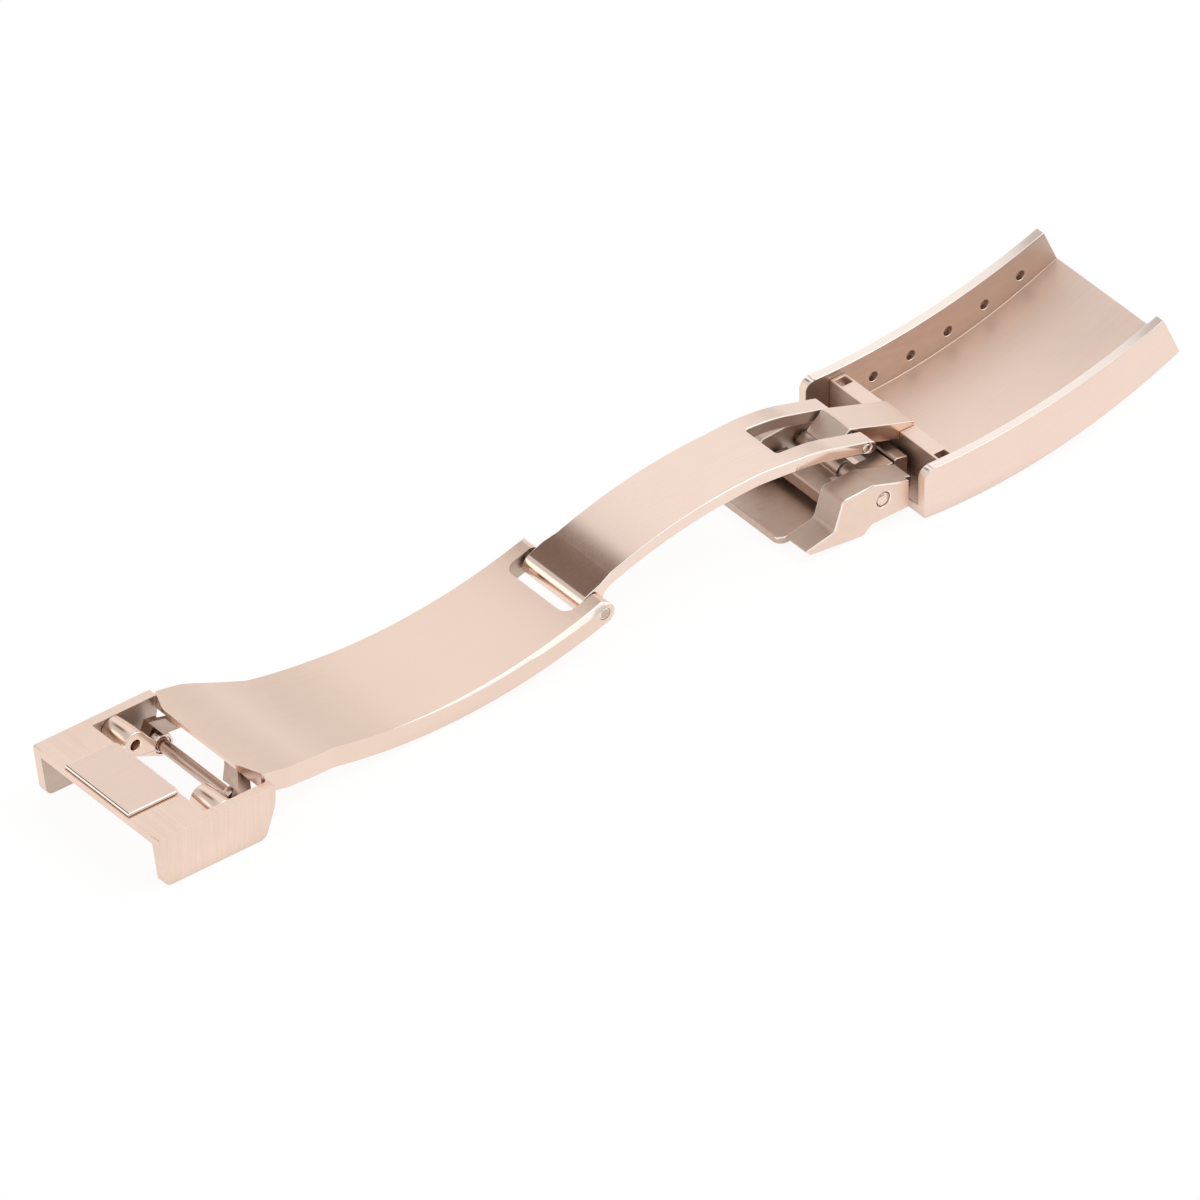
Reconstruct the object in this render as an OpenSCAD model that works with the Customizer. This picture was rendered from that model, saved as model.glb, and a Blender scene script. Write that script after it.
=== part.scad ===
// Fold-over watch clasp, open and laid out flat with its wrist side up.
// X runs along the clasp, Y across it, Z up from the table it lies on.

/* [Overall] */
// Outer width of the cover and of the end connector
clasp_w = 18; // [16:0.5:22]
// Thickness of the side walls of the cover and of the end connector
wall_t = 1.0; // [0.9:0.05:1.2]
// Clearance between pieces that swing past each other
swing_gap = 0.25; // [0.15:0.05:0.3]
// Radial clearance of a pin in a hole that turns on it
pin_gap = 0.05; // [0.02:0.01:0.08]
// Radial clearance of a pin in a hole that holds it
seat_gap = 0.01; // [0:0.005:0.02]

/* [Cover] */
// Radius of the outer face of the cover floor
cover_r = 60; // [56:1:66]
// Thickness of the cover floor
floor_t = 1.0; // [0.8:0.05:1.2]
// Where the cover starts, from its lowest point
cover_back = 5.15; // [4.9:0.05:5.4]
// Angle that the cover floor turns through in front of its lowest point
cover_deg = 24; // [23:0.5:26]
// Radius of the top edge of the side walls
rim_r = 72; // [68:1:78]
// Height of the top edge of the side walls at its lowest
rim_z = 5.3; // [5.1:0.05:5.6]
// Radius of the rounded upper corner at the open end of each side wall
rim_corner_r = 1.0; // [0.5:0.1:1.5]
// Diameter of the blind holes for the spring bar
bar_hole_d = 1.0; // [0.8:0.05:1.1]
// Depth of the blind holes for the spring bar
bar_hole_depth = 0.7; // [0.4:0.05:0.8]
// Number of spring bar positions
bar_hole_n = 5; // [3:1:5]
// Height of the spring bar holes above the floor
bar_hole_z = 1.5; // [1.2:0.05:1.8]
// Angle of the first spring bar hole from the lowest point of the cover
bar_hole_deg = 2.7; // [2.5:0.1:3]
// Angle between neighbouring spring bar holes
bar_pitch_deg = 4.35; // [4:0.05:4.4]

/* [Hinge bridge] */
// Width of the bridge along the clasp
bridge_l = 1.75; // [1.6:0.05:2.2]
// Height of the top face of the bridge
bridge_z = 4.6; // [4.4:0.05:4.7]
// Thickness of the bridge plate
bridge_t = 1.1; // [0.9:0.1:1.2]
// Thickness of the bridge front wall
bridge_wall_t = 0.7; // [0.6:0.1:0.9]
// Width of the hinge tongue
tongue_w = 4.0; // [3.6:0.1:4.2]
// Thickness of the hinge tongue
tongue_t = 1.75; // [1.6:0.05:1.8]

/* [Blades] */
// Distance between the two pins of the narrow blade, along the clasp
narrow_l = 31.7; // [31:0.1:32]
// Thickness of the narrow blade
narrow_t = 1.3; // [1.1:0.05:1.4]
// Width of the narrow blade along its arch
narrow_w = 7.8; // [7.4:0.1:8]
// Width of the narrow blade at its fork and at its barrel
fork_w = 8.3; // [8.1:0.05:8.3]
// Radius of the upper face of the arch of the narrow blade
arch_r = 50; // [48:1:54]
// Height of the upper face of the arch at its crown
arch_z = 9.15; // [9:0.05:9.3]
// Length of the slot in the fork, from the cover pin
fork_slot_l = 8.9; // [8.3:0.1:9.2]
// Slope of the fork arms
fork_deg = 16; // [15:0.5:17]
// Distance from the blade hinge to the end rod, along the clasp
wide_l = 41.3; // [40.5:0.1:42]
// Width of the wide blade
wide_w = 12.5; // [12:0.1:13]
// Width of the thick rails along the sides of the wide blade
wide_rail_w = 1.5; // [1.2:0.1:1.6]
// Thickness of the wide blade at its sides
wide_rim_t = 2.15; // [2:0.05:2.2]
// Thickness of the wide blade between its sides
wide_plate_t = 1.1; // [1:0.05:1.3]
// Radius of the upper face of the wide blade
wide_r = 57; // [55:1:60]
// Height of the upper face of the wide blade at its lowest
wide_z = 2.4; // [2.35:0.05:2.6]
// Width of the polished bevel on the sides of the wide blade
wide_bevel = 0.5; // [0.3:0.05:0.6]

/* [Pins] */
// Diameter of the pin between the two blades
blade_pin_d = 1.2; // [1:0.05:1.3]
// Diameter of the pin between the cover and the narrow blade
cover_pin_d = 0.9; // [0.8:0.05:0.95]
// Diameter of the end rod
rod_d = 1.25; // [1.1:0.05:1.3]
// Diameter of the safety catch shaft
catch_pin_d = 1.2; // [1:0.05:1.2]
// Diameter of the domed heads of the safety catch shaft
catch_head_d = 1.3; // [1.2:0.05:1.6]

/* [End connector] */
// Length of the end connector
cap_l = 13.2; // [12.8:0.1:13.6]
// Height of the end connector without its centre panel
cap_h = 5.4; // [5.3:0.05:5.6]
// Length of the plate of the end connector
cap_plate_l = 5.9; // [5.7:0.05:6]
// Thickness of the plate of the end connector
cap_plate_t = 0.8; // [0.7:0.05:1]
// Width of the raised centre panel
panel_w = 9.2; // [8.8:0.1:9.6]
// How far the centre panel stands up
panel_t = 0.35; // [0.25:0.05:0.5]
// Width of each ear
ear_w = 3.3; // [3:0.05:3.4]
// Diameter of the pin hole in each ear
link_hole_d = 1.1; // [1:0.05:1.2]
// Depth of the pin hole in each ear
link_hole_depth = 2.4; // [2:0.1:2.6]

/* [Safety catch] */
// Gap between each side of the safety catch and the cover wall
catch_side_gap = 0.6; // [0.4:0.05:0.7]
// Inner width between the cheeks of the safety catch
catch_in_w = 8.6; // [8.55:0.05:8.7]
// Thickness of the plate of the safety catch
catch_plate_t = 0.75; // [0.6:0.05:0.8]

/* [Hidden] */
$fn = 96;
tall = 12;
steel = [0.90, 0.76, 0.69];
bright = [0.95, 0.83, 0.77];
shade = [0.80, 0.66, 0.59];

// Widths measured from the middle plane
half_w = clasp_w / 2;
in_half_w = half_w - wall_t;
flare_half_w = in_half_w - swing_gap;

// Lengths between the pivots and the ends, which set where the middle is
cover_front_l = cover_r * sin(cover_deg);
pivot_l = 7.9;
cap_front_l = 1.9;
open_l = cover_front_l + pivot_l + narrow_l + wide_l - cap_front_l + cap_l;

// Cover arc, from its lowest point, and its ends
cover_x = open_l / 2 - cover_front_l;
cover_back_x = cover_x - cover_back;
floor_r = cover_r - floor_t;
rim_x = cover_x - 2;
bar_hole_r = floor_r - bar_hole_z;

// The blade pin runs through the middle of the sides of the wide blade, at their hinge end
cover_pivot_x = cover_x - pivot_l;
blade_pivot_x = cover_pivot_x - narrow_l;
wide_low_l = 17.9;
wide_x = blade_pivot_x - wide_low_l;
rim_mid_r = wide_r + wide_rim_t / 2;
blade_pivot = [blade_pivot_x, wide_z + wide_r - sqrt(pow(rim_mid_r, 2) - pow(wide_low_l, 2))];

// Arch of the narrow blade over that pin, the bend behind it and the fork arm up to the cover pin
pin_depth = 0.917;
arch_x = blade_pivot_x
    + sqrt(pow(arch_r - pin_depth, 2) - pow(arch_r - arch_z + blade_pivot[1], 2));
arch_end_x = arch_x + 5.5;
arch_end_deg = asin((arch_end_x - arch_x) / arch_r);
bend_r = 18;
bend_c = [arch_x + (arch_r - bend_r) * sin(arch_end_deg),
    arch_z - arch_r + (arch_r - bend_r) * cos(arch_end_deg)];
arm_mid_z = (bend_r - narrow_t / 2 - (cover_pivot_x - bend_c[0]) * sin(fork_deg)) / cos(fork_deg);

// Pivots, as [x, z]
cover_pivot = [cover_pivot_x, bend_c[1] + arm_mid_z];
rod_pivot = [blade_pivot[0] - wide_l, 2.6];
catch_pivot = [cover_back_x - 3.45, 3.05];

// Hinge bridge and the lugs behind it
bridge_x = cover_x - 2.4;
lug_x = bridge_x - 2.1;
lug_l = 1.5;

// How far the straight part of a fork arm runs past the cover pin
fork_end_l = 0.4;

// Curled end of the narrow blade
curl_x = blade_pivot[0] - 1.2;
curl_z = blade_pivot[1] - 0.95;

// Wide blade: a hollow arc, then a short lip that curves the other way
lip_r = 42.5;
lip_deg = asin(16.5 / wide_r);
lip_c = [wide_x - (wide_r + lip_r) * sin(lip_deg),
    wide_z + wide_r - (wide_r + lip_r) * cos(lip_deg)];
wide_end_x = rod_pivot[0] + 0.2;
window_x = blade_pivot[0] - 3;
window_w = fork_w + 2 * swing_gap;

// End connector
cap_x = rod_pivot[0] + cap_front_l - cap_l;
ear_in_y = in_half_w - ear_w;
ear_r = 1.35;
ear_hole = [rod_pivot[0] - 3.1, cap_h - ear_r];
ear_boss_r = 1.15;
ear_boss_w = 0.9;
knuckle_in_y = ear_in_y + ear_boss_w + swing_gap;
knuckle_out_y = in_half_w - 0.9;
knuckle_r = 1.0;

// Safety catch
catch_half_w = in_half_w - catch_side_gap;
catch_in_half_w = catch_in_w / 2;
shaft_barrel_r = 0.95;
block_half_w = catch_in_half_w - swing_gap;
lever_knuckle_w = 3.6;

// Extrudes outlines drawn in X and Z from y = a to y = b, in either order
module across(a, b) {
    for (i = [0 : $children - 1])
        translate([0, max(a, b), 0])
            rotate([90, 0, 0])
                linear_extrude(abs(b - a))
                    children(i);
}

// A pin or a hole along Y, at p = [x, z], from y = a to y = b
module along_y(p, d, a, b) {
    translate([p[0], min(a, b), p[1]])
        rotate([-90, 0, 0])
            cylinder(d = d, h = abs(b - a));
}

// A disc at p = [x, z], for outlines
module disc(p, r) {
    translate(p)
        circle(r, $fn = 180);
}

function unit(v) = v / norm(v);

// Points that round the corner b between a and c with radius b[2]
function corner(a, b, c, n = 6) =
    let (p = [b[0], b[1]],
        u = unit([a[0], a[1]] - p),
        v = unit([c[0], c[1]] - p),
        half = acos(u * v) / 2,
        o = p + unit(u + v) * b[2] / sin(half),
        s = p + u * b[2] / tan(half) - o,
        e = p + v * b[2] / tan(half) - o,
        a0 = atan2(s[1], s[0]),
        turn = atan2(e[1], e[0]) - a0,
        sweep = turn > 180 ? turn - 360 : turn < -180 ? turn + 360 : turn)
    b[2] == 0 ? [p] : [for (k = [0 : n]) o + b[2] * [cos(a0 + sweep * k / n), sin(a0 + sweep * k / n)]];

// An outline whose corners are [x, y, radius]
function rounded(p, n = 6) =
    [for (i = [0 : len(p) - 1])
        each corner(p[(i + len(p) - 1) % len(p)], p[i], p[(i + 1) % len(p)], n)];

// Mirrors a plan outline about the middle plane
function both_sides(p) =
    concat(p, [for (i = [len(p) - 1 : -1 : 0]) [p[i][0], -p[i][1], p[i][2]]]);

// Side outline of the cover, up to the top edge of its walls
module cover_outline() {
    difference() {
        intersection() {
            disc([cover_x, cover_r], cover_r);
            polygon([[cover_back_x, -1], [cover_x + (cover_r + 1) * tan(cover_deg), -1],
                [cover_x, cover_r], [cover_back_x, cover_r]]);
        }
        disc([rim_x, rim_z + rim_r], rim_r);
        // rounded upper corner
        translate([cover_back_x, rim_z - rim_corner_r])
            difference() {
                translate([-1, 0])
                    square([rim_corner_r + 1, 2 * rim_corner_r]);
                translate([rim_corner_r, 0])
                    circle(rim_corner_r);
                translate([rim_corner_r, -1])
                    square([1, 4]);
            }
    }
}

module cover() {
    color(steel)
        difference() {
            across(-half_w, half_w)
                cover_outline();
            across(-in_half_w, in_half_w)
                disc([cover_x, cover_r], floor_r);
            for (i = [0 : bar_hole_n - 1])
                let (a = bar_hole_deg + i * bar_pitch_deg,
                    p = [cover_x + bar_hole_r * sin(a), cover_r - bar_hole_r * cos(a)])
                    along_y(p, bar_hole_d, -in_half_w - bar_hole_depth, in_half_w + bar_hole_depth);
        }
}

// Side outline of the hinge tongue: a long slope, a bend over the pin and a short slope
module tongue_outline() {
    far_x = bridge_x + bridge_l;
    far_z = bridge_z + 0.35;
    bend = cover_pivot + [-0.2, 1.02];
    slope = unit([far_x, far_z] - bend);
    down = tongue_t * [slope[1], -slope[0]];
    eye_x = cover_pivot[0] - 0.7;
    eye = bend + down + slope * (eye_x - bend[0] - down[0]) / slope[0];
    polygon(rounded([[far_x, far_z, 0], [bend[0], bend[1], 0.3],
        [cover_pivot[0] - 2.15, cover_pivot[1] - 0.8, 0.25],
        [cover_pivot[0] - 1.7, cover_pivot[1] - 1.15, 0.25],
        [eye[0], eye[1], 0.8], [far_x + down[0], far_z + down[1], 0],
        [far_x, far_z + down[1], 0]]));
}

module tongue_solid() {
    across(-tongue_w / 2, tongue_w / 2)
        tongue_outline();
}

module hinge_bridge() {
    notch_in_y = 6.5;
    notch_out_y = 7.6;
    notch_margin = 0.25;
    color(steel)
        difference() {
            across(-in_half_w, in_half_w)
                difference() {
                    translate([bridge_x, 0])
                        square([bridge_l, bridge_z]);
                    translate([bridge_x + bridge_wall_t, -1])
                        square([bridge_l, bridge_z - bridge_t + 1]);
                    difference() {
                        translate([bridge_x - 1, -1])
                            square([bridge_l + 2, 3]);
                        disc([cover_x, cover_r], floor_r);
                    }
                }
            for (s = [-1, 1])
                across(s * notch_in_y, s * notch_out_y)
                    translate([bridge_x + notch_margin, bridge_z - bridge_t - 1])
                        square([bridge_l - 2 * notch_margin, bridge_t + 2]);
            tongue_solid();
        }
}

module hinge_tongue() {
    color(bright)
        difference() {
            tongue_solid();
            along_y(cover_pivot, cover_pin_d + 2 * pin_gap, -tongue_w, tongue_w);
        }
}

// A lug that stands on the cover floor behind the bridge
module hinge_lug(side) {
    lug_z = 3.6;
    in_y = 1.2;
    out_y = 3.9;
    color(shade)
        across(side * in_y, side * out_y)
            intersection() {
                polygon(rounded([[lug_x, 0, 0], [lug_x + lug_l, 0, 0],
                    [lug_x + lug_l, lug_z - 0.3, 0.2], [lug_x, lug_z, 0.3]]));
                disc([cover_x, cover_r], floor_r);
            }
}

module near_hinge_lug() {
    hinge_lug(-1);
}

module far_hinge_lug() {
    hinge_lug(1);
}

// Carries the safety catch shaft in two barrels behind the cover
module catch_hinge_block() {
    web_t = 0.8;
    web_z = catch_pivot[1] - web_t / 2;
    web_x = cover_back_x - 1.2;
    web_end_x = lug_x - 0.3;
    block_top = web_z + web_t;
    color(shade)
        difference() {
            union() {
                for (s = [-1, 1])
                    across(s * (lever_knuckle_w / 2 + swing_gap), s * block_half_w) {
                        disc(catch_pivot, shaft_barrel_r);
                        translate([catch_pivot[0], web_z])
                            square([web_x - catch_pivot[0] + 0.5, web_t]);
                    }
                across(-block_half_w, block_half_w) {
                    translate([web_x, web_z])
                        square([web_end_x - web_x, web_t]);
                    intersection() {
                        translate([cover_back_x, 0])
                            square([web_end_x - cover_back_x, block_top]);
                        disc([cover_x, cover_r], floor_r);
                    }
                }
            }
            along_y(catch_pivot, catch_pin_d + 2 * pin_gap, -half_w, half_w);
        }
}

// Points on a circle about c, for angles from the vertical, in n steps
function arc(c, r, a, b, n) =
    [for (k = [0 : n]) let (t = a + (b - a) * k / n) c + r * [sin(t), cos(t)]];

// Side outline of the narrow blade: a curled end, an arch, a bend and the straight fork arm
module narrow_outline() {
    arch_c = [arch_x, arch_z - arch_r];
    top_deg = asin((blade_pivot[0] + 0.4 - arch_x) / arch_r);
    low_deg = asin((blade_pivot[0] + 1.35 - arch_x) / arch_r);
    top = arch_c + arch_r * [sin(top_deg), cos(top_deg)];
    low = arch_c + (arch_r - narrow_t) * [sin(low_deg), cos(low_deg)];
    curl = rounded([[top[0], top[1], 0], [low[0], low[1], 0],
        [blade_pivot[0] + 0.9, curl_z, 0.4], [curl_x, curl_z, 0.45],
        [curl_x, top[1] - (top[0] - curl_x) * tan(-top_deg), 1.3]]);
    arm_half = narrow_t / 2;
    arm_end = cover_pivot + fork_end_l * [cos(fork_deg), -sin(fork_deg)];
    polygon(concat(
        arc(arch_c, arch_r, top_deg, arch_end_deg, 24),
        arc(bend_c, bend_r, arch_end_deg + 1, fork_deg, 6),
        arc(arm_end, arm_half, fork_deg, fork_deg + 180, 24),
        arc(bend_c, bend_r - narrow_t, fork_deg, arch_end_deg + 1, 6),
        arc(arch_c, arch_r - narrow_t, arch_end_deg, low_deg, 24),
        [for (i = [2 : len(curl) - 1]) curl[i]]));
}

// Plan of the narrow blade: a wide end, a slimmer arch and a fork
function narrow_plan() =
    let (x0 = curl_x - 1,
        x1 = cover_pivot[0] + 2,
        a = narrow_w / 2,
        b = fork_w / 2)
    both_sides([[x0, b, 0], [blade_pivot[0] + 1.2, b, 1.5], [blade_pivot[0] + 2.6, a, 1.5],
        [arch_end_x - 5.5, a, 4], [arch_end_x - 1.5, b, 4], [x1, b, 0]]);

module narrow_blade() {
    slot_w = tongue_w + 2 * swing_gap;
    slot_x = cover_pivot[0] - fork_slot_l;
    color(bright)
        difference() {
            intersection() {
                across(-half_w, half_w)
                    narrow_outline();
                linear_extrude(tall)
                    polygon(rounded(narrow_plan()));
            }
            linear_extrude(tall)
                polygon(rounded(both_sides([[slot_x, slot_w / 2, 0.3],
                    [cover_pivot[0] + 3, slot_w / 2, 0]])));
            along_y(cover_pivot, cover_pin_d + 2 * seat_gap, -half_w, half_w);
            along_y(blade_pivot, blade_pin_d + 2 * pin_gap, -half_w, half_w);
        }
}

module cover_pin() {
    color(shade)
        along_y(cover_pivot, cover_pin_d, -fork_w / 2, fork_w / 2);
}

// Points of the face that lies t under the upper face of the wide blade
function wide_face(t) =
    let (c = [wide_x, wide_z + wide_r],
        hinge_deg = 180 - asin((blade_pivot[0] - wide_x) / wide_r),
        end_deg = asin((wide_end_x - 1 - lip_c[0]) / lip_r))
    concat(arc(c, wide_r + t, hinge_deg, 180 + lip_deg, 44),
        arc(lip_c, lip_r - t, lip_deg - 0.6, end_deg, 16));

// Side outline of the wide blade between the faces t0 and t1
module wide_outline(t0, t1) {
    far = wide_face(t1);
    polygon(concat(wide_face(t0), [for (i = [len(far) - 1 : -1 : 0]) far[i]]));
}

// Plan of the wide blade, with in taken off its sides
function wide_plan(x0, x1, in, end_r, flare_r) =
    let (a = wide_w / 2 - in,
        b = flare_half_w - in,
        flare_end_x = wide_end_x + 4.2,
        flare_x = wide_end_x + 10.4)
    both_sides([[x0, b - 2.7, end_r], [x0 + 1.25, b, end_r / 8], [flare_end_x, b, flare_r],
        [flare_x, a, flare_r], [x1, a, 0]]);

// What is taken off under the end of the lip, where it is t thick, to leave it a thin front edge
module lip_cut(t) {
    edge_t = 0.4;
    cut_l = 1.4;
    over = 0.5;
    slope = (t - edge_t) / cut_l;
    edge_z = lip_c[1] + sqrt(pow(lip_r, 2) - pow(wide_end_x - lip_c[0], 2)) - edge_t;
    polygon([[wide_end_x - over, edge_z + over * slope],
        [wide_end_x + cut_l + over, edge_z - (cut_l + over) * slope],
        [wide_end_x - over, edge_z - (cut_l + over) * slope]]);
}

// The polished bevel: a ring with a sloping side, off centre so that it widens to the hinge
module wide_bevel_cut() {
    start = -7 / wide_r;
    end = (blade_pivot[0] - wide_x) / wide_r;
    off = wide_bevel / (end - start);
    edge = wide_w / 2 + off * start;
    for (s = [-1, 1])
        translate([wide_x + off, 0, wide_z + wide_r])
            rotate([90, 0, 0])
                rotate([0, 0, -90 - 12])
                    rotate_extrude(angle = 40, $fn = 360)
                        polygon([[wide_r - 1, s * (edge - 1)], [wide_r - 1, s * (edge + 2)],
                            [wide_r + 2, s * (edge + 2)]]);
}

module wide_blade() {
    end_r = 2.4;
    flare_r = 2.2;
    window_r = 1.1;
    hinge_r = wide_rim_t / 2;
    color(steel)
        difference() {
            intersection() {
                across(-half_w, half_w) {
                    wide_outline(0, wide_rim_t);
                    disc(blade_pivot, hinge_r);
                }
                linear_extrude(tall)
                    polygon(rounded(wide_plan(wide_end_x, blade_pivot[0] + 2, 0, end_r, flare_r)));
            }
            across(-half_w, half_w)
                lip_cut(wide_rim_t);
            // hollow underside between the rails
            intersection() {
                linear_extrude(tall)
                    polygon(rounded(wide_plan(wide_end_x - 1, window_x + 0.5, wide_rail_w, 0, 0)));
                across(-half_w, half_w)
                    wide_outline(wide_plate_t, wide_rim_t + 0.5);
            }
            // window at the hinge
            linear_extrude(tall)
                polygon(rounded(both_sides([[window_x, window_w / 2, window_r],
                    [blade_pivot[0] + 3, window_w / 2, 0]])));
            wide_bevel_cut();
            along_y(blade_pivot, blade_pin_d + 2 * seat_gap, -half_w, half_w);
        }
}

module blade_pin() {
    color(shade)
        along_y(blade_pivot, blade_pin_d, -wide_w / 2, wide_w / 2);
}

// A finger that slants out from under the lip to a barrel round the rod
module rod_knuckle(side) {
    ridge = rod_pivot + [-0.33, 1.64];
    back_x = rod_pivot[0] + 1.4;
    foot_z = rod_pivot[1] + ear_boss_r + swing_gap + 0.05;
    root_z = rod_pivot[1] + 2.4;
    root_in_y = side * 3.3;
    root_out_y = side * 5.2;
    foot_in_y = side * (ear_in_y - 0.1);
    color(shade)
        difference() {
            union() {
                intersection() {
                    across(-half_w, half_w)
                        intersection() {
                            polygon([ridge, [back_x - 0.5, foot_z], [back_x, foot_z + 0.5], [back_x, tall],
                                [rod_pivot[0] + 0.6, tall], [rod_pivot[0] + 0.6, root_z]]);
                            wide_outline(wide_plate_t / 2, tall);
                        }
                    translate([back_x - 5, 0, 0])
                        rotate([90, 0, 90])
                            linear_extrude(10)
                                polygon([[root_in_y, tall], [root_out_y, tall], [root_out_y, root_z],
                                    [side * knuckle_out_y, ridge[1] - 0.4], [side * knuckle_out_y, foot_z - 1],
                                    [foot_in_y, foot_z - 1], [foot_in_y, ridge[1] - 0.3], [root_in_y, root_z]]);
                }
                across(side * knuckle_in_y, side * knuckle_out_y) {
                    disc(rod_pivot, knuckle_r);
                    polygon([ridge, rod_pivot + [-0.7, 0.7], rod_pivot + [0.7, 0.7], [back_x - 0.5, foot_z]]);
                }
            }
            difference() {
                across(-half_w, half_w)
                    wide_outline(0, wide_plate_t);
                across(-half_w, half_w)
                    lip_cut(wide_rim_t);
            }
            along_y(rod_pivot, rod_d + 2 * pin_gap, -half_w, half_w);
        }
}

module near_rod_knuckle() {
    rod_knuckle(-1);
}

module far_rod_knuckle() {
    rod_knuckle(1);
}

module flange_outline() {
    polygon(rounded([[cap_x, cap_h, 0.2], [cap_x + 0.8, 0, 0.9],
        [cap_x + cap_l - 1.1, 0, 0.9], [cap_x + cap_l - 0.05, 3.3, 3],
        [cap_x + cap_l, cap_h, 0.2]]));
}

module end_cap() {
    color(bright)
        union() {
            for (s = [-1, 1])
                across(s * in_half_w, s * half_w)
                    flange_outline();
            across(-in_half_w, in_half_w)
                polygon([[cap_x, cap_h], [cap_x + 0.1, cap_h - cap_plate_t],
                    [cap_x + cap_plate_l, cap_h - cap_plate_t], [cap_x + cap_plate_l, cap_h]]);
        }
}

module centre_panel() {
    panel_x = cap_x + 0.15;
    end_r = 0.5;
    color(bright)
        translate([0, 0, cap_h])
            linear_extrude(panel_t)
                polygon(rounded(both_sides([[panel_x, panel_w / 2, 0.1],
                    [cap_x + cap_plate_l, panel_w / 2, end_r]])));
}

// Holds a pin of the bracelet inside a flange, and the end rod in a lobe on its inner face
module ear(side) {
    in_y = side * ear_in_y;
    out_y = side * in_half_w;
    ring_d = rod_d + 0.5;
    ring_depth = 0.25;
    color(shade)
        difference() {
            union() {
                across(in_y, out_y)
                    disc(ear_hole, ear_r);
                across(in_y, in_y + side * ear_boss_w) {
                    disc(rod_pivot, ear_boss_r);
                    polygon([ear_hole + ear_r * [0.5, 0.86], rod_pivot + [-1.1, 1.15], rod_pivot,
                        rod_pivot + [-0.15, 0.01 - ear_boss_r], ear_hole + [0, 0.01 - ear_r]]);
                }
            }
            along_y(ear_hole, link_hole_d, in_y - side, in_y + side * link_hole_depth);
            along_y(rod_pivot, rod_d + 2 * seat_gap, in_y - side, out_y);
            along_y(rod_pivot, ring_d, in_y - side, in_y + side * ring_depth);
        }
}

module near_ear() {
    ear(-1);
}

module far_ear() {
    ear(1);
}

module end_rod() {
    rod_half_l = knuckle_out_y + 0.1;
    color(steel)
        along_y(rod_pivot, rod_d, -rod_half_l, rod_half_l);
}

// Side outline of a cheek: a hooked hump with a low toe in front of it
module cheek_outline() {
    translate([catch_pivot[0], 0])
        polygon(rounded([[1.6, 4.2, 0], [-1.2, 5.15, 0.4], [-4.65, 5, 0.6], [-5.65, 1.98, 0.6],
            [-8.95, 1.3, 0.15], [-8.4, 0.7, 0.3], [-2.3, 0, 0.6],
            [-1.45, 0.8, 0.8], [1.6, 0.85, 0]]));
}

// Right end of a cheek, rounded about the shaft
module cheek_end_outline() {
    end_r = 3.75;
    start_x = 1.1;
    reach = 4.6;
    foot_z = 0.85;
    intersection() {
        translate([catch_pivot[0], 0])
            polygon([[start_x, 4.36], [reach, 3.25], [reach, foot_z], [start_x, foot_z]]);
        disc(catch_pivot, end_r);
    }
}

// A cheek of the safety catch, with a seat for the head of the shaft
module cheek(side) {
    in_y = side * catch_in_half_w;
    out_y = side * catch_half_w;
    head_seat = 0.25;
    head_seat_d = catch_head_d + 0.25;
    end_step_x = catch_pivot[0] + 3;
    end_step = 0.7;
    color(steel)
        difference() {
            across(in_y, out_y) {
                cheek_outline();
                cheek_end_outline();
            }
            across(out_y - side * end_step, out_y + side)
                translate([end_step_x, 0])
                    square([2, 6]);
            along_y(catch_pivot, catch_pin_d + 2 * seat_gap, -half_w, half_w);
            along_y(catch_pivot, head_seat_d, out_y - side * head_seat, out_y + side);
        }
}

module near_cheek() {
    cheek(-1);
}

module far_cheek() {
    cheek(1);
}

module catch_plate() {
    plate_l = 9.55;
    plate_x = catch_pivot[0] - plate_l;
    plate_end_x = catch_pivot[0] - 0.8;
    plate_z = 0.42;
    rise = 0.15;
    color(shade)
        intersection() {
            across(-catch_in_half_w, catch_in_half_w)
                polygon(rounded([[plate_x, plate_z, 0.15], [plate_end_x, plate_z - rise, 0],
                    [plate_end_x, plate_z + catch_plate_t - rise, 0],
                    [plate_x + 0.1, plate_z + catch_plate_t, 0.25]]));
            linear_extrude(tall)
                polygon(rounded(both_sides([[plate_x, catch_in_half_w, 0.9],
                    [plate_end_x, catch_in_half_w, 0]])));
        }
}

// Half of the shaft, as [radius, distance from the middle], with a domed head
function shaft_profile() =
    let (head_t = 0.25,
        rim = catch_half_w - 0.1,
        dome_r = 1.2,
        dome_deg = asin(catch_head_d / 2 / dome_r),
        tip_deg = 4,
        dome_z = rim - dome_r * cos(dome_deg))
    concat([[catch_pin_d / 2, catch_half_w - head_t], [catch_head_d / 2, catch_half_w - head_t]],
        arc([0, dome_z], dome_r, dome_deg, tip_deg, 6), [[0, dome_z + dome_r * cos(tip_deg)]]);

module catch_shaft() {
    p = shaft_profile();
    color(bright)
        translate([catch_pivot[0], 0, catch_pivot[1]])
            rotate([-90, 0, 0])
                rotate_extrude()
                    polygon(concat(p, [for (i = [len(p) - 1 : -1 : 0]) [p[i][0], -p[i][1]]]));
}

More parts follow.
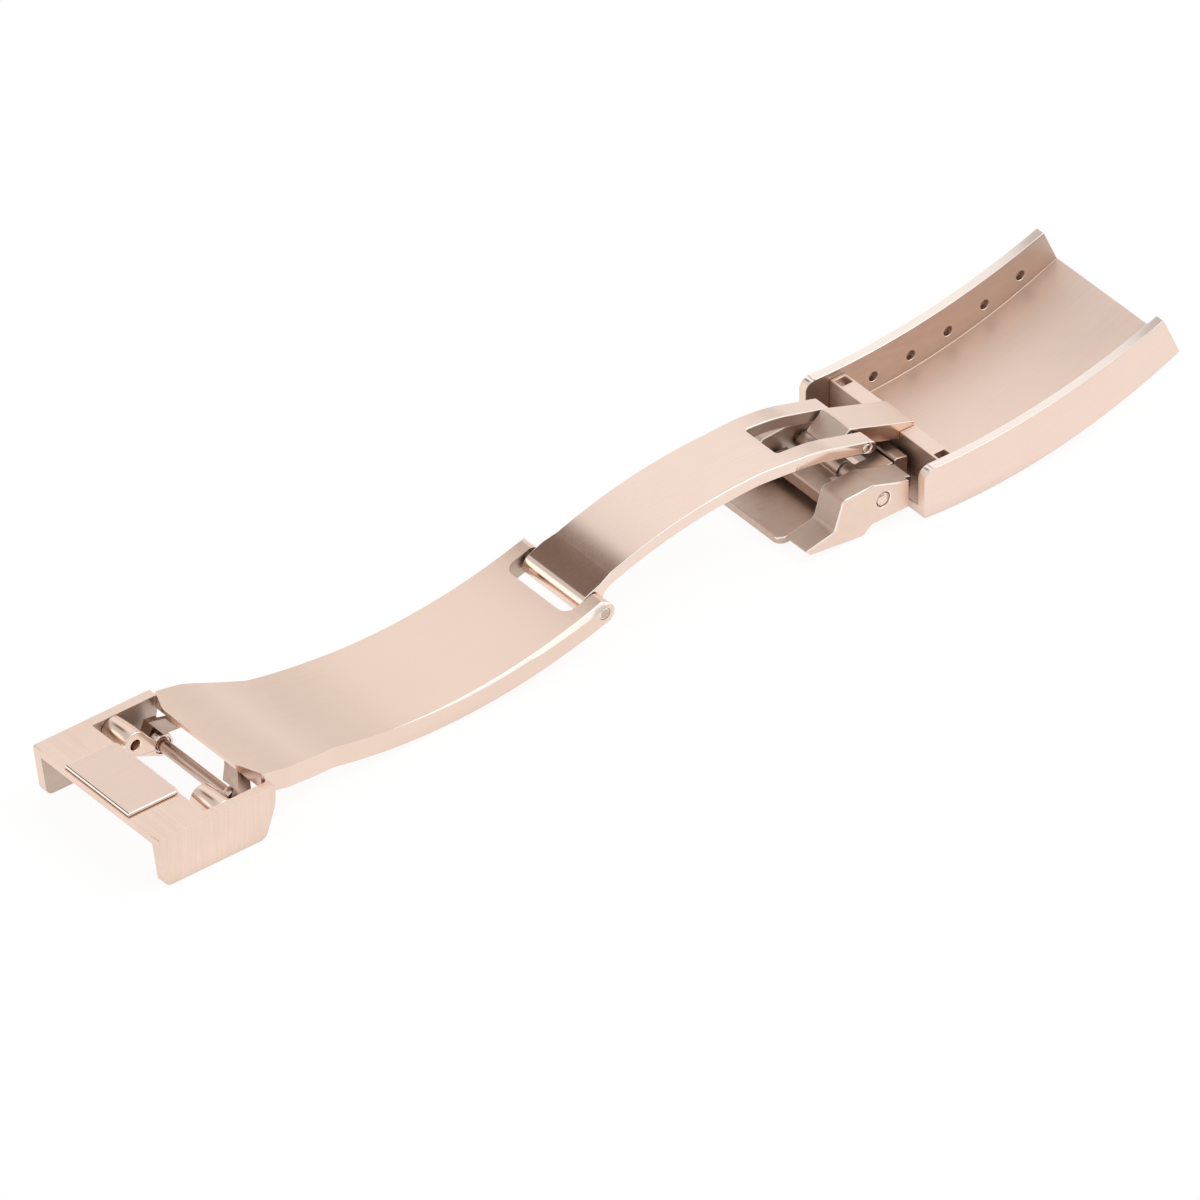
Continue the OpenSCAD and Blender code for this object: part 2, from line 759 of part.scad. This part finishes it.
// Sprung lever between the cheeks, with a nose that closes over the rod
module latch_lever() {
    lever_half_w = catch_in_half_w - swing_gap - 0.1;
    nose_reach = 4;
    nose_x = catch_pivot[0] - nose_reach;
    nose_l = 2.1;
    nose_z = 1.85;
    nose_top = 3.3;
    color(shade)
        difference() {
            union() {
                across(-lever_half_w, lever_half_w)
                    polygon(rounded([[nose_x, nose_z, 0.15], [nose_x + nose_l, nose_z, 0.3],
                        [nose_x + nose_l, nose_top, 0.3], [nose_x, nose_top, 0.25]]));
                across(-lever_knuckle_w / 2, lever_knuckle_w / 2) {
                    disc(catch_pivot, shaft_barrel_r);
                    translate([nose_x + nose_l - 0.6, 2.2])
                        square([catch_pivot[0] - nose_x - nose_l + 0.6, 0.75]);
                }
            }
            along_y(catch_pivot, catch_pin_d + 2 * pin_gap, -half_w, half_w);
        }
}

cover();
hinge_bridge();
hinge_tongue();
near_hinge_lug();
far_hinge_lug();
catch_hinge_block();
narrow_blade();
cover_pin();
wide_blade();
blade_pin();
near_rod_knuckle();
far_rod_knuckle();
end_cap();
centre_panel();
near_ear();
far_ear();
end_rod();
catch_plate();
near_cheek();
far_cheek();
catch_shaft();
latch_lever();
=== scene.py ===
"""Looks for the watch clasp: rose gold metal on the CAD frame, in a pale studio."""
import math

import bpy
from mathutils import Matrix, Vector

MM = 0.001


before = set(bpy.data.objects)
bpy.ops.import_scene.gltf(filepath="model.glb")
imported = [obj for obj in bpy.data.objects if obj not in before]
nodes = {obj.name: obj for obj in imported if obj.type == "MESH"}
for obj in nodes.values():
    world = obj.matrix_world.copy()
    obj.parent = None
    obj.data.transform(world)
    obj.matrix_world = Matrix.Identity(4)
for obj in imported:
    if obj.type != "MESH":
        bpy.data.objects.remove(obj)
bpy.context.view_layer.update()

scene = bpy.context.scene
scene.view_settings.view_transform = "Standard"


# Node trees

# The sockets of a Mix node that mixes colours
MIX_FACTOR, MIX_A, MIX_B, MIX_RESULT = 0, 6, 7, 2


class Graph:
    """The emptied node tree of a material or world, with short calls for the usual nodes."""

    def __init__(self, owner):
        owner.use_nodes = True
        self.nodes = owner.node_tree.nodes
        self.links = owner.node_tree.links
        self.nodes.clear()

    def node(self, kind):
        return self.nodes.new("ShaderNode" + kind)

    def feed(self, socket, value):
        """Links an output to the socket, or sets a constant on it."""
        if isinstance(value, bpy.types.NodeSocket):
            self.links.new(value, socket)
        else:
            socket.default_value = value

    def math(self, operation, *values):
        node = self.node("Math")
        node.operation = operation
        for socket, value in zip(node.inputs, values):
            self.feed(socket, value)
        return node.outputs["Value"]

    def noise(self, vector, scale, detail, roughness=0.5):
        node = self.node("TexNoise")
        self.feed(node.inputs["Vector"], vector)
        self.feed(node.inputs["Scale"], scale)
        self.feed(node.inputs["Detail"], detail)
        self.feed(node.inputs["Roughness"], roughness)
        return node.outputs["Fac"]

    def ramp(self, value, stops, interpolation="LINEAR"):
        """A colour ramp. Each stop is a position and a colour."""
        node = self.node("ValToRGB")
        node.color_ramp.interpolation = interpolation
        elements = node.color_ramp.elements
        for i, (at, colour) in enumerate(stops):
            stop = elements[i] if i < 2 else elements.new(at)
            stop.position = at
            stop.color = tuple(colour) + (1,)
        self.feed(node.inputs["Fac"], value)
        return node.outputs["Color"]

    def mix(self, factor, first, second):
        node = self.node("Mix")
        node.data_type = "RGBA"
        self.feed(node.inputs[MIX_FACTOR], factor)
        self.feed(node.inputs[MIX_A], first)
        self.feed(node.inputs[MIX_B], second)
        return node.outputs[MIX_RESULT]

    def seen(self):
        """1 on rays from the camera, a reflection or a clear material, else 0."""
        rays = self.node("LightPath").outputs
        mirrored = self.math("MAXIMUM", rays["Is Glossy Ray"], rays["Is Transmission Ray"])
        return self.math("MAXIMUM", rays["Is Camera Ray"], mirrored)


# Materials

ROSE = (0.87, 0.67, 0.56)
# A lighter copy of the rose gold: painted light on the polished narrow blade
ROSE_LIT = (0.90, 0.71, 0.61)
# A darker copy of the rose gold: painted shade for the parts inside the mechanism and for the
# pins
ROSE_SHADED = (0.60, 0.46, 0.385)

# Painted shade: the base colour darkens towards this colour in recesses, where shade falls. A
# face gets it in full where it sees this share of open sky, within the reach
CREVICE_SHADE = (0.48, 0.37, 0.31)
CREVICE_SHADE_FULL_AT = 0.05
CREVICE_SHADE_REACH = 3.0 * MM
CREVICE_SHADE_SAMPLES = 8

RELIEF_DEPTH = 0.004 * MM
LINES_DETAIL = 3.0
LINES_ROUGHNESS = 0.6
CLOUD_SCALE = 180.0
CLOUD_DETAIL = 4.0
# How much of the tint follows the brushing; the rest follows the clouds
LINES_SHARE = 0.6
# The noise's values that give the darkest and the lightest tint
DARKEST_AT, LIGHTEST_AT = 0.25, 0.75


def metal(name, colour, rough, grain=(150, 7000, 7000), centre=None, grain_rough=0.06,
          bump=0.12, smudge=0.03, tint=0.03, unshaded_at=0.65):
    """Rose gold on steel. grain is how fine the brushing is along X, Y and Z, per metre;
    with a centre (x, z) in mm the third figure runs along the radius from it.
    unshaded_at is the share of open sky at which a face no longer gets painted shade."""
    mat = bpy.data.materials.new(name)
    g = Graph(mat)
    out = g.node("OutputMaterial")
    bsdf = g.node("BsdfPrincipled")
    g.feed(bsdf.inputs["Metallic"], 1.0)
    g.feed(out.inputs["Surface"], bsdf.outputs["BSDF"])

    coord = g.node("TexCoord").outputs["Object"]
    split = g.node("SeparateXYZ")
    g.feed(split.inputs["Vector"], coord)
    depth = split.outputs["Z"]
    if centre is not None:
        flat = g.node("CombineXYZ")
        g.feed(flat.inputs["X"], split.outputs["X"])
        g.feed(flat.inputs["Z"], split.outputs["Z"])
        radius = g.node("VectorMath")
        radius.operation = "DISTANCE"
        g.feed(radius.inputs[0], flat.outputs["Vector"])
        g.feed(radius.inputs[1], (centre[0] * MM, 0, centre[1] * MM))
        depth = radius.outputs["Value"]
    place = g.node("CombineXYZ")
    g.feed(place.inputs["X"], split.outputs["X"])
    g.feed(place.inputs["Y"], split.outputs["Y"])
    g.feed(place.inputs["Z"], depth)
    stretch = g.node("Mapping")
    g.feed(stretch.inputs["Vector"], place.outputs["Vector"])
    g.feed(stretch.inputs["Scale"], grain)

    lines = g.noise(stretch.outputs["Vector"], 1.0, LINES_DETAIL, LINES_ROUGHNESS)
    cloud = g.noise(coord, CLOUD_SCALE, CLOUD_DETAIL)

    brushed = g.math("MULTIPLY_ADD", lines, 2 * grain_rough, rough - grain_rough)
    g.feed(bsdf.inputs["Roughness"], g.math("MULTIPLY_ADD", cloud, 2 * smudge, brushed))

    clouds_part = g.math("MULTIPLY", cloud, 1 - LINES_SHARE)
    shading = g.math("MULTIPLY_ADD", lines, LINES_SHARE, clouds_part)
    unshaded_colour = g.ramp(shading, [(DARKEST_AT, [c * (1 - tint) for c in colour]),
                             (LIGHTEST_AT, [min(1, c * (1 + tint)) for c in colour])])

    # Painted shade: ambient occlusion darkens the base colour in recesses and between parts
    open_sky = g.node("AmbientOcclusion")
    open_sky.samples = CREVICE_SHADE_SAMPLES
    g.feed(open_sky.inputs["Distance"], CREVICE_SHADE_REACH)
    unshaded_share = g.node("MapRange")
    g.feed(unshaded_share.inputs["Value"], open_sky.outputs["AO"])
    g.feed(unshaded_share.inputs["From Min"], CREVICE_SHADE_FULL_AT)
    g.feed(unshaded_share.inputs["From Max"], unshaded_at)
    g.feed(bsdf.inputs["Base Color"], g.mix(unshaded_share.outputs["Result"], CREVICE_SHADE + (1,), unshaded_colour))

    relief = g.node("Bump")
    g.feed(relief.inputs["Strength"], bump)
    g.feed(relief.inputs["Distance"], RELIEF_DEPTH)
    g.feed(relief.inputs["Height"], lines)
    g.feed(bsdf.inputs["Normal"], relief.outputs["Normal"])
    return mat


# The middles of the curves of the cover and the wide blade, as x and z in mm
COVER_CURVE = (33.898, 60.0)
WIDE_CURVE = (-23.602, 59.4)

mats = {
    # The cover's colour is a lighter, paler copy of the rose gold: painted light
    "cover": metal("cover_satin", (0.94, 0.755, 0.655), 0.46, centre=COVER_CURVE, tint=0.05),
    "wide": metal("wide_blade_satin", ROSE, 0.20, centre=WIDE_CURVE),
    "narrow": metal("narrow_blade_polish", ROSE_LIT, 0.09, grain=(90, 5000, 5000),
                    grain_rough=0.03, bump=0.05),
    "tongue": metal("tongue_satin", ROSE, 0.22, grain=(90, 5000, 5000), grain_rough=0.05),
    "panel": metal("panel_brushed", ROSE, 0.30, grain=(4200, 60, 200),
                   grain_rough=0.10, tint=0.11, bump=0.45),
    "centre": metal("centre_panel_polish", (0.80, 0.62, 0.53), 0.18, grain=(200, 3000, 3000)),
    "inner": metal("inner_satin_painted_shade", ROSE_SHADED, 0.34, grain=(900, 1800, 1800), smudge=0.08, tint=0.14),
    "catch": metal("catch_satin", ROSE, 0.30, grain=(1500, 2500, 1500),
                   grain_rough=0.08, tint=0.06, smudge=0.05, unshaded_at=0.5),
    "head": metal("head_polish", ROSE, 0.08, grain=(400, 400, 400), grain_rough=0.02, bump=0.03),
    "ear": metal("ear_polish", ROSE, 0.14, grain=(1500, 1500, 1500), grain_rough=0.04, bump=0.05),
    "pin": metal("pin_ground_painted_shade", ROSE_SHADED, 0.22, grain=(3000, 200, 3000)),
    # Painted shade: a darker copy of the rose gold for faces that look inwards or away from the
    # light
    "wall": metal("inner_wall_satin", (0.61, 0.485, 0.41), 0.40, grain=(500, 1600, 1600),
                  smudge=0.08, tint=0.11),
    # Polished edges: smoother, with a lighter, paler colour that is a painted highlight
    "edge": metal("polished_edge_painted_highlight", (0.96, 0.85, 0.775), 0.14, grain=(200, 3000, 3000),
                  grain_rough=0.02, bump=0.03),
}


# Pieces

# The material slots of each piece after its own one (the polished edge with its painted
# highlight, and the painted shade of the sides), and the bevel's way to keep a face's slot
EDGE_HIGHLIGHT, SHADE_SIDE, SAME_AS_FACE = 1, 2, -1

# node: (material, edge bevel in mm, bevel segments, smallest angle in degrees that gets a bevel,
#        whether the bevel keeps its width where it meets another one)
LOOK = {
    "cover": ("cover", 0.09, 3, 35, True),
    "hinge_bridge": ("cover", 0.08, 2, 35, True),
    "hinge_tongue": ("tongue", 0.10, 2, 30, True),
    "near_hinge_lug": ("inner", 0.08, 2, 35, False),
    "far_hinge_lug": ("inner", 0.08, 2, 35, False),
    "catch_hinge_block": ("inner", 0.06, 2, 35, False),
    "narrow_blade": ("narrow", 0.13, 3, 40, True),
    "cover_pin": ("pin", 0.12, 2, 35, False),
    "wide_blade": ("wide", 0.12, 2, 35, False),
    "blade_pin": ("pin", 0.12, 2, 35, False),
    "near_rod_knuckle": ("inner", 0.10, 2, 35, False),
    "far_rod_knuckle": ("inner", 0.10, 2, 35, False),
    "end_cap": ("panel", 0.20, 3, 35, False),
    "centre_panel": ("centre", 0.16, 3, 35, True),
    "near_ear": ("ear", 0.10, 2, 35, True),
    "far_ear": ("ear", 0.10, 2, 35, True),
    "end_rod": ("pin", 0.10, 2, 35, False),
    "catch_plate": ("inner", 0.12, 2, 35, True),
    "near_cheek": ("catch", 0.12, 3, 30, True),
    "far_cheek": ("catch", 0.12, 3, 30, True),
    "catch_shaft": ("head", 0.04, 2, 50, False),
    "latch_lever": ("inner", 0.08, 2, 35, False),
}

WELD_REACH = 0.002 * MM
FLAT_ANGLE = math.radians(0.05)
FACE_WEIGHT = 80


def dress(obj, mat, width, segments, angle, full):
    """Rounds the edges of a CAD node with modifiers and gives it its materials."""
    mesh = obj.data
    mesh.materials.clear()
    for key in (mat, "edge", "wall"):
        mesh.materials.append(mats[key])
    mesh.polygons.foreach_set("use_smooth", [True] * len(mesh.polygons))
    if mesh.has_custom_normals:
        with bpy.context.temp_override(object=obj, active_object=obj, selected_objects=[obj]):
            bpy.ops.mesh.customdata_custom_splitnormals_clear()
    weld = obj.modifiers.new("weld", "WELD")
    weld.merge_threshold = WELD_REACH
    dissolve = obj.modifiers.new("dissolve", "DECIMATE")
    dissolve.decimate_type = "DISSOLVE"
    dissolve.angle_limit = FLAT_ANGLE
    dissolve.delimit = {"MATERIAL"}
    bevel = obj.modifiers.new("bevel", "BEVEL")
    bevel.width = width * MM
    bevel.segments = segments
    bevel.limit_method = "ANGLE"
    bevel.angle_limit = math.radians(angle)
    bevel.use_clamp_overlap = not full
    # The bevels take the polished edge with its painted highlight, save on the cover, where they
    # keep the face's slot
    bevel.material = SAME_AS_FACE if mat == "cover" else EDGE_HIGHLIGHT
    bevel.miter_outer = "MITER_ARC"
    normals = obj.modifiers.new("normals", "WEIGHTED_NORMAL")
    normals.weight = FACE_WEIGHT


def paint(names, slot, wanted):
    """Moves the faces whose normal and middle pass the test to another material slot."""
    for name in names:
        for face in nodes[name].data.polygons:
            if wanted(face.normal, face.center):
                face.material_index = slot


for name, look in LOOK.items():
    dress(nodes[name], *look)

# The long side bevels of the wide blade and the upper edges of the cover's walls are polished,
# with a lighter colour as a painted highlight
COVER_WALL_INSIDE = 8.05 * MM
paint(["wide_blade"], EDGE_HIGHLIGHT, lambda normal, middle: 0.5 < abs(normal.y) < 0.9 and normal.z > 0.4)
paint(["cover"], EDGE_HIGHLIGHT, lambda normal, middle:
      abs(normal.y) < 0.3 and normal.z > 0.8 and abs(middle.y) > COVER_WALL_INSIDE)
# Side faces that look inwards are left rougher, as they come from the tool, and get a darker
# colour that is painted shade
paint(["cover", "narrow_blade", "wide_blade", "end_cap", "near_cheek", "far_cheek"], SHADE_SIDE,
      lambda normal, middle: abs(normal.y) > 0.8 and normal.y * middle.y < 0)
# So are the edges of the cheeks, and those of the tongue that do not look up, with the same
# painted shade
paint(["hinge_tongue"], SHADE_SIDE, lambda normal, middle: abs(normal.y) < 0.5 and normal.z < 0.85)
paint(["near_cheek", "far_cheek"], SHADE_SIDE, lambda normal, middle: abs(normal.y) < 0.5)


# Studio

# Brightness of the sky by its angle in degrees, from +X over the top to -X
SKY = [(0, 0.95), (10, 0.98), (18, 0.96), (27, 0.74), (36, 0.86), (46, 1.03), (58, 1.04),
       (74, 1.0), (86, 0.90), (98, 0.78), (115, 0.68), (140, 0.76), (180, 0.95)]
# The factor on it by the direction's Y, from near to far: a bright band that the near bevels
# mirror, with a darker sky in front of it
NEAR = [(-1, 0.6), (-0.82, 0.7), (-0.66, 1.2), (-0.42, 1.3), (-0.3, 1.35), (-0.05, 1.2),
        (0.2, 1.0), (1, 1.0)]
# A dark patch in it, by the same angle and the same Y, which the narrow blade mirrors
DARK_ANGLE = [(84, 0), (89, 0.85), (93, 0.95), (104, 0.85), (110, 0)]
DARK_Y = [(0.42, 0), (0.52, 0.9), (0.6, 1), (0.66, 1), (0.74, 0.9), (0.84, 0)]
DARK = (0.17, 0.115, 0.085)
# The sky's level as a light; where it is seen, itself or in a reflection, the level is 1
SKY_LIGHT = 0.6

FLOOR_SIZE = 6
FLOOR_DROP = 0.05 * MM
FLOOR_GREY = (0.9, 0.9, 0.9, 1)
FLOOR_GLOW = 1.12
# The glow's share of the floor where it is seen; elsewhere the floor is plain grey
FLOOR_GLOW_SHARE = 0.8


def by_angle(steps):
    """Ramp stops for the angle over pi."""
    return [(degrees / 180, (grey,) * 3) for degrees, grey in steps]


def by_y(steps):
    """Ramp stops for Y moved from -1..1 to 0..1."""
    return [(y / 2 + 0.5, (grey,) * 3) for y, grey in steps]


def pale_floor():
    mat = bpy.data.materials.new("pale_floor")
    g = Graph(mat)
    out = g.node("OutputMaterial")
    diffuse = g.node("BsdfDiffuse")
    g.feed(diffuse.inputs["Color"], FLOOR_GREY)
    glow = g.node("Emission")
    g.feed(glow.inputs["Color"], (1, 1, 1, 1))
    g.feed(glow.inputs["Strength"], FLOOR_GLOW)
    mix = g.node("MixShader")
    g.feed(mix.inputs["Fac"], g.math("MULTIPLY", g.seen(), FLOOR_GLOW_SHARE))
    g.feed(mix.inputs[1], diffuse.outputs["BSDF"])
    g.feed(mix.inputs[2], glow.outputs["Emission"])
    g.feed(out.inputs["Surface"], mix.outputs["Shader"])
    bpy.ops.mesh.primitive_plane_add(size=FLOOR_SIZE, location=(0, 0, -FLOOR_DROP))
    floor = bpy.context.active_object
    floor.name = "floor"
    floor.data.materials.append(mat)


def sky():
    world = bpy.data.worlds.new("studio")
    scene.world = world
    g = Graph(world)
    out = g.node("OutputWorld")
    background = g.node("Background")
    g.feed(out.inputs["Surface"], background.outputs["Background"])
    split = g.node("SeparateXYZ")
    g.feed(split.inputs["Vector"], g.node("TexCoord").outputs["Generated"])
    angle = g.math("ARCTAN2", split.outputs["Z"], split.outputs["X"])
    turn = g.math("DIVIDE", angle, math.pi)
    across = g.math("MULTIPLY_ADD", split.outputs["Y"], 0.5, 0.5)

    patch = g.math("MULTIPLY", g.ramp(turn, by_angle(DARK_ANGLE), "EASE"),
                   g.ramp(across, by_y(DARK_Y), "EASE"))
    plain_sky = g.ramp(turn, by_angle(SKY), "B_SPLINE")
    g.feed(background.inputs["Color"], g.mix(patch, plain_sky, DARK + (1,)))

    level = g.math("MULTIPLY_ADD", g.seen(), 1 - SKY_LIGHT, SKY_LIGHT)
    near = g.ramp(across, by_y(NEAR), "EASE")
    g.feed(background.inputs["Strength"], g.math("MULTIPLY", level, near))


def lamp(name, where, size, watts):
    """A round lamp that points at the clasp's middle."""
    data = bpy.data.lights.new(name, "AREA")
    data.shape = "DISK"
    data.size = size
    data.energy = watts
    obj = bpy.data.objects.new(name, data)
    scene.collection.objects.link(obj)
    obj.location = where
    obj.rotation_euler = (-Vector(where)).to_track_quat("-Z", "Y").to_euler()


# The photo's camera, solved on the parallel edges of the clasp
AZIMUTH = math.radians(-38.61)
ELEVATION = math.radians(37.06)
DISTANCE = 2.742
AIM = Vector((-1.282, 0, -0.05)) * MM
LENS = 921.5
SENSOR = 36
CLIP_END = 20


def camera():
    data = bpy.data.cameras.new("photo")
    data.sensor_fit = "HORIZONTAL"
    data.sensor_width = SENSOR
    data.lens = LENS
    data.clip_end = CLIP_END
    obj = bpy.data.objects.new("photo", data)
    scene.collection.objects.link(obj)
    back = Vector((math.sin(AZIMUTH) * math.cos(ELEVATION),
                   -math.cos(AZIMUTH) * math.cos(ELEVATION),
                   math.sin(ELEVATION)))
    obj.location = AIM + DISTANCE * back
    obj.rotation_euler = back.to_track_quat("Z", "Y").to_euler()
    scene.camera = obj


pale_floor()
sky()
lamp("key", (0.45, -0.19, 0.76), 0.34, 0.42)
lamp("fill", (-0.75, 0.55, 0.35), 0.5, 0.35)
camera()
